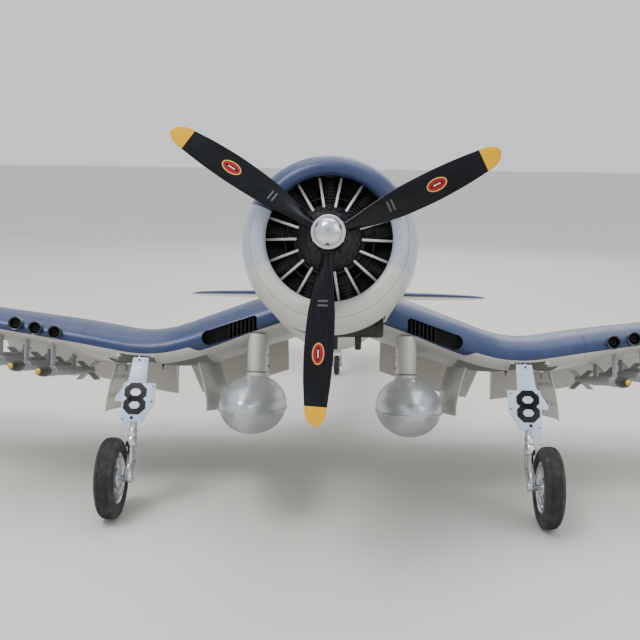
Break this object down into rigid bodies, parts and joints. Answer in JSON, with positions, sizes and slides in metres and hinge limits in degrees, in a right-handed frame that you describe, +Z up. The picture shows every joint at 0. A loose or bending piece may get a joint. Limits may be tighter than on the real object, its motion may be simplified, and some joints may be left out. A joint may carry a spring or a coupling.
{
  "type": "radio control warbird plane",
  "caption": "Radio control naval fighter plane with an inverted gull wing, radial cowling, folding wheels, flaps, drop tanks and underwing rockets.",
  "frame": {"origin": "on the ground, under the middle of the bounding box, with the plane standing on its wheels", "axes": "+X to the plane's port wing tip, +Y aft, +Z up from the ground; the nose points to -Y and is tipped up about 12 degrees"},
  "size_m": [2.27, 1.8266, 0.6596],
  "materials": {
    "hull_paint": "gloss",
    "navy_blue": "gloss",
    "pale_grey": "satin",
    "door_blue": "satin",
    "engine_black": "satin",
    "exhaust_black": "satin",
    "engine_alloy": "satin",
    "bright_alloy": "polished",
    "steel": "polished",
    "blade_black": "gloss",
    "tyre_rubber": "matte",
    "clear_canopy": "gloss",
    "plywood": "matte",
    "cockpit_green": "matte",
    "tank_silver": "gloss",
    "rocket_olive": "satin",
    "fuel_bottle": "satin",
    "battery_wrap": "satin"
  },
  "bodies": {
    "airframe": {"fuselage": "hull_paint", "cowling": "navy_blue", "cowl_flap_ring": "navy_blue", "dummy_radial": "engine_black", "firewall": "plywood", "petrol_engine": "engine_alloy", "muffler": "exhaust_black", "fuel_tank": "fuel_bottle", "flight_battery": "battery_wrap", "cockpit_tub": "cockpit_green", "windscreen": "clear_canopy", "wing_centre_section": "navy_blue", "wing_panel_left": "navy_blue", "wing_panel_right": "navy_blue", "stabilizer_left": "navy_blue", "stabilizer_right": "navy_blue", "drop_tank_left": "tank_silver", "drop_tank_right": "tank_silver", "tank_pylon_left": "pale_grey", "tank_pylon_right": "pale_grey", "rocket_1_left": "rocket_olive", "rocket_1_right": "rocket_olive", "rocket_2_left": "rocket_olive", "rocket_2_right": "rocket_olive", "rocket_3_left": "rocket_olive", "rocket_3_right": "rocket_olive", "rocket_4_left": "rocket_olive", "rocket_4_right": "rocket_olive"},
    "propeller_rotor": {"propeller": "blade_black", "spinner": "bright_alloy"},
    "canopy": {"canopy_hood": "clear_canopy"},
    "rudder_body": {"rudder": "navy_blue"},
    "tail_leg_body": {"tail_leg": "bright_alloy"},
    "tail_wheel_body": {"tail_wheel": "tyre_rubber"},
    "flap_inner_left_body": {"flap_inner_left": "pale_grey"},
    "flap_inner_right_body": {"flap_inner_right": "pale_grey"},
    "flap_mid_left_body": {"flap_mid_left": "pale_grey"},
    "flap_mid_right_body": {"flap_mid_right": "pale_grey"},
    "flap_outer_left_body": {"flap_outer_left": "pale_grey"},
    "flap_outer_right_body": {"flap_outer_right": "pale_grey"},
    "aileron_left_body": {"aileron_left": "navy_blue"},
    "aileron_right_body": {"aileron_right": "navy_blue"},
    "elevator_left_body": {"elevator_left": "navy_blue"},
    "elevator_right_body": {"elevator_right": "navy_blue"},
    "wheel_door_inner_left_body": {"wheel_door_inner_left": "pale_grey"},
    "wheel_door_inner_right_body": {"wheel_door_inner_right": "pale_grey"},
    "wheel_door_outer_left_body": {"wheel_door_outer_left": "pale_grey"},
    "wheel_door_outer_right_body": {"wheel_door_outer_right": "pale_grey"},
    "leg_left": {"strut_left": "bright_alloy", "strut_door_left": "door_blue"},
    "twist_left": {"twist_collar_left": "bright_alloy"},
    "oleo_left_body": {"piston_left": "steel"},
    "main_wheel_left": {"main_tyre_left": "tyre_rubber", "wheel_hub_left": "bright_alloy"},
    "leg_right": {"strut_right": "bright_alloy", "strut_door_right": "door_blue"},
    "twist_right": {"twist_collar_right": "bright_alloy"},
    "oleo_right_body": {"piston_right": "steel"},
    "main_wheel_right": {"main_tyre_right": "tyre_rubber", "wheel_hub_right": "bright_alloy"}
  },
  "joints": [
    {"name": "propeller_spin", "type": "hinge", "parent": "airframe", "child": "propeller_rotor", "pos_m": [0, -0.85836, 0.51973], "axis": [0, -0.9771, 0.2128], "continuous": true},
    {"name": "canopy_slide", "type": "slide", "parent": "airframe", "child": "canopy", "axis": [0, 0.9771, -0.2128], "range_m": [0, 0.15]},
    {"name": "flap_inner_left_hinge", "type": "hinge", "parent": "airframe", "child": "flap_inner_left_body", "pos_m": [0.104, -0.07413, 0.25782], "axis": [0.9559, -0.0625, -0.287], "range_deg": [0, 50]},
    {"name": "flap_inner_right_hinge", "type": "hinge", "parent": "airframe", "child": "flap_inner_right_body", "pos_m": [-0.104, -0.07413, 0.25782], "axis": [0.9559, 0.0625, 0.287], "range_deg": [0, 50]},
    {"name": "flap_mid_left_hinge", "type": "hinge", "parent": "airframe", "child": "flap_mid_left_body", "pos_m": [0.343, -0.0904, 0.19253], "axis": [0.9879, -0.0366, 0.1505], "range_deg": [0, 50]},
    {"name": "flap_mid_right_hinge", "type": "hinge", "parent": "airframe", "child": "flap_mid_right_body", "pos_m": [-0.343, -0.0904, 0.19253], "axis": [0.9879, 0.0366, -0.1505], "range_deg": [0, 50]},
    {"name": "flap_outer_left_hinge", "type": "hinge", "parent": "airframe", "child": "flap_outer_left_body", "pos_m": [0.458, -0.0947, 0.21038], "axis": [0.9861, -0.0311, 0.1635], "range_deg": [0, 50]},
    {"name": "flap_outer_right_hinge", "type": "hinge", "parent": "airframe", "child": "flap_outer_right_body", "pos_m": [-0.458, -0.0947, 0.21038], "axis": [0.9861, 0.0311, -0.1635], "range_deg": [0, 50]},
    {"name": "aileron_left_hinge", "type": "hinge", "parent": "airframe", "child": "aileron_left_body", "pos_m": [0.721, -0.10359, 0.25414], "axis": [0.9602, -0.1945, 0.2006], "range_deg": [-20, 20]},
    {"name": "aileron_right_hinge", "type": "hinge", "parent": "airframe", "child": "aileron_right_body", "pos_m": [-0.721, -0.10359, 0.25414], "axis": [0.9602, 0.1945, -0.2006], "range_deg": [-20, 20]},
    {"name": "elevator_left_hinge", "type": "hinge", "parent": "airframe", "child": "elevator_left_body", "pos_m": [0.027, 0.80187, 0.20115], "axis": [1, 0, 0], "range_deg": [-20, 20]},
    {"name": "elevator_right_hinge", "type": "hinge", "parent": "airframe", "child": "elevator_right_body", "pos_m": [-0.027, 0.80187, 0.20115], "axis": [1, 0, 0], "range_deg": [-20, 20]},
    {"name": "rudder_hinge", "type": "hinge", "parent": "airframe", "child": "rudder_body", "pos_m": [0, 0.77304, 0.24735], "axis": [0, 0.2128, 0.9771], "range_deg": [-20, 20]},
    {"name": "tail_wheel_steer", "type": "hinge", "parent": "airframe", "child": "tail_leg_body", "pos_m": [0, 0.58796, 0.10241], "axis": [0, 0.2128, 0.9771], "range_deg": [-20, 20]},
    {"name": "tail_wheel_spin", "type": "hinge", "parent": "tail_leg_body", "child": "tail_wheel_body", "pos_m": [0, 0.59432, 0.02801], "axis": [1, 0, 0], "continuous": true},
    {"name": "retract_left", "type": "hinge", "parent": "airframe", "child": "leg_left", "pos_m": [0.348, -0.4344, 0.27184], "axis": [0.9925, 0.1191, -0.0259], "range_deg": [0, 104]},
    {"name": "leg_twist_left", "type": "hinge", "parent": "leg_left", "child": "twist_left", "pos_m": [0.348, -0.4344, 0.27184], "axis": [0, 0.5133, 0.8582], "range_deg": [0, 90]},
    {"name": "oleo_left", "type": "slide", "parent": "twist_left", "child": "oleo_left_body", "axis": [0, 0.5133, 0.8582], "range_m": [0, 0.008], "stiffness_N_per_m": 6000, "springref_m": -0.01},
    {"name": "main_wheel_left_spin", "type": "hinge", "parent": "oleo_left_body", "child": "main_wheel_left", "pos_m": [0.3765, -0.55511, 0.07], "axis": [1, 0, 0], "continuous": true},
    {"name": "wheel_door_inner_left_hinge", "type": "hinge", "parent": "airframe", "child": "wheel_door_inner_left_body", "pos_m": [0.2315, -0.42002, 0.24859], "axis": [0, -0.9771, 0.2128], "range_deg": [0, 90]},
    {"name": "wheel_door_outer_left_hinge", "type": "hinge", "parent": "airframe", "child": "wheel_door_outer_left_body", "pos_m": [0.4115, -0.4213, 0.24271], "axis": [0, 0.9771, -0.2128], "range_deg": [0, 94]},
    {"name": "retract_right", "type": "hinge", "parent": "airframe", "child": "leg_right", "pos_m": [-0.348, -0.4344, 0.27184], "axis": [0.9925, -0.1191, 0.0259], "range_deg": [0, 104]},
    {"name": "leg_twist_right", "type": "hinge", "parent": "leg_right", "child": "twist_right", "pos_m": [-0.348, -0.4344, 0.27184], "axis": [0, -0.5133, -0.8582], "range_deg": [0, 90]},
    {"name": "oleo_right", "type": "slide", "parent": "twist_right", "child": "oleo_right_body", "axis": [0, 0.5133, 0.8582], "range_m": [0, 0.008], "stiffness_N_per_m": 6000, "springref_m": -0.01},
    {"name": "main_wheel_right_spin", "type": "hinge", "parent": "oleo_right_body", "child": "main_wheel_right", "pos_m": [-0.3765, -0.55511, 0.07], "axis": [1, 0, 0], "continuous": true},
    {"name": "wheel_door_inner_right_hinge", "type": "hinge", "parent": "airframe", "child": "wheel_door_inner_right_body", "pos_m": [-0.2315, -0.42002, 0.24859], "axis": [0, 0.9771, -0.2128], "range_deg": [0, 90]},
    {"name": "wheel_door_outer_right_hinge", "type": "hinge", "parent": "airframe", "child": "wheel_door_outer_right_body", "pos_m": [-0.4115, -0.4213, 0.24271], "axis": [0, -0.9771, 0.2128], "range_deg": [0, 94]}
  ],
  "couplings": [
    {"joint": "flap_inner_right_hinge", "follows": "flap_inner_left_hinge", "ratio": 1},
    {"joint": "flap_mid_left_hinge", "follows": "flap_inner_left_hinge", "ratio": 1},
    {"joint": "flap_mid_right_hinge", "follows": "flap_inner_left_hinge", "ratio": 1},
    {"joint": "flap_outer_left_hinge", "follows": "flap_inner_left_hinge", "ratio": 1},
    {"joint": "flap_outer_right_hinge", "follows": "flap_inner_left_hinge", "ratio": 1},
    {"joint": "aileron_right_hinge", "follows": "aileron_left_hinge", "ratio": -1},
    {"joint": "elevator_right_hinge", "follows": "elevator_left_hinge", "ratio": 1},
    {"joint": "tail_wheel_steer", "follows": "rudder_hinge", "ratio": 1},
    {"joint": "wheel_door_outer_left_hinge", "follows": "wheel_door_inner_left_hinge", "ratio": 1.0444},
    {"joint": "wheel_door_inner_right_hinge", "follows": "wheel_door_inner_left_hinge", "ratio": 1},
    {"joint": "wheel_door_outer_right_hinge", "follows": "wheel_door_inner_left_hinge", "ratio": 1.0444},
    {"joint": "retract_right", "follows": "retract_left", "ratio": 1},
    {"joint": "leg_twist_left", "follows": "retract_left", "ratio": 0.8654},
    {"joint": "leg_twist_right", "follows": "retract_left", "ratio": 0.8654}
  ]
}
